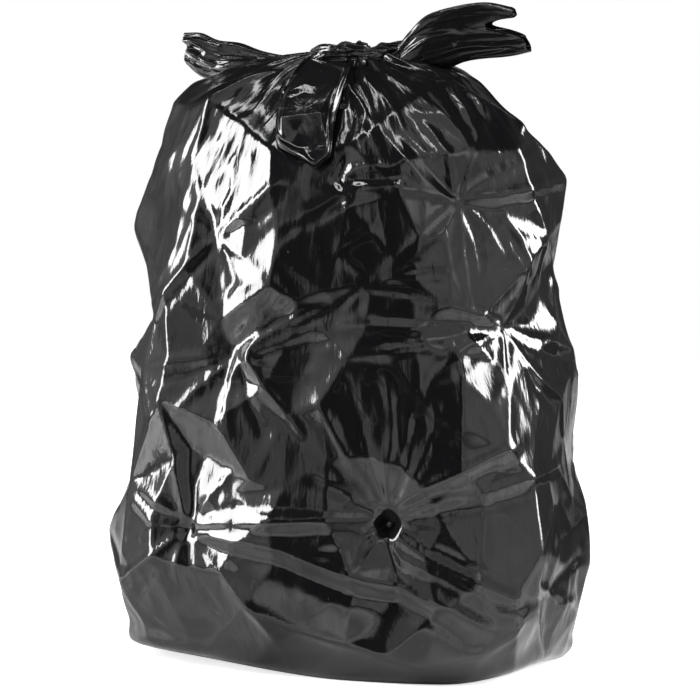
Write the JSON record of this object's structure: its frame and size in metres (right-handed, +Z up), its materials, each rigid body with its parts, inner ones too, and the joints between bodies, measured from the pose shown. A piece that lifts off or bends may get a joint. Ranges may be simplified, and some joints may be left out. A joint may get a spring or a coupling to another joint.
{
  "type": "tied full bin bag",
  "caption": "Full bin bag of thin glossy film, standing on its own base, closed by a knot in its gathered neck with two open film ears.",
  "frame": {"origin": "on the floor, straight under the middle of the gathered neck", "axes": "+Z up, -Y towards the front, +X towards the ear that stands higher"},
  "size_m": [0.508, 0.3971, 0.7097],
  "materials": {
    "film": "thin glossy film with pressed-in creases and fine crinkles"
  },
  "bodies": {
    "root": {"bag": "film"}
  },
  "joints": []
}
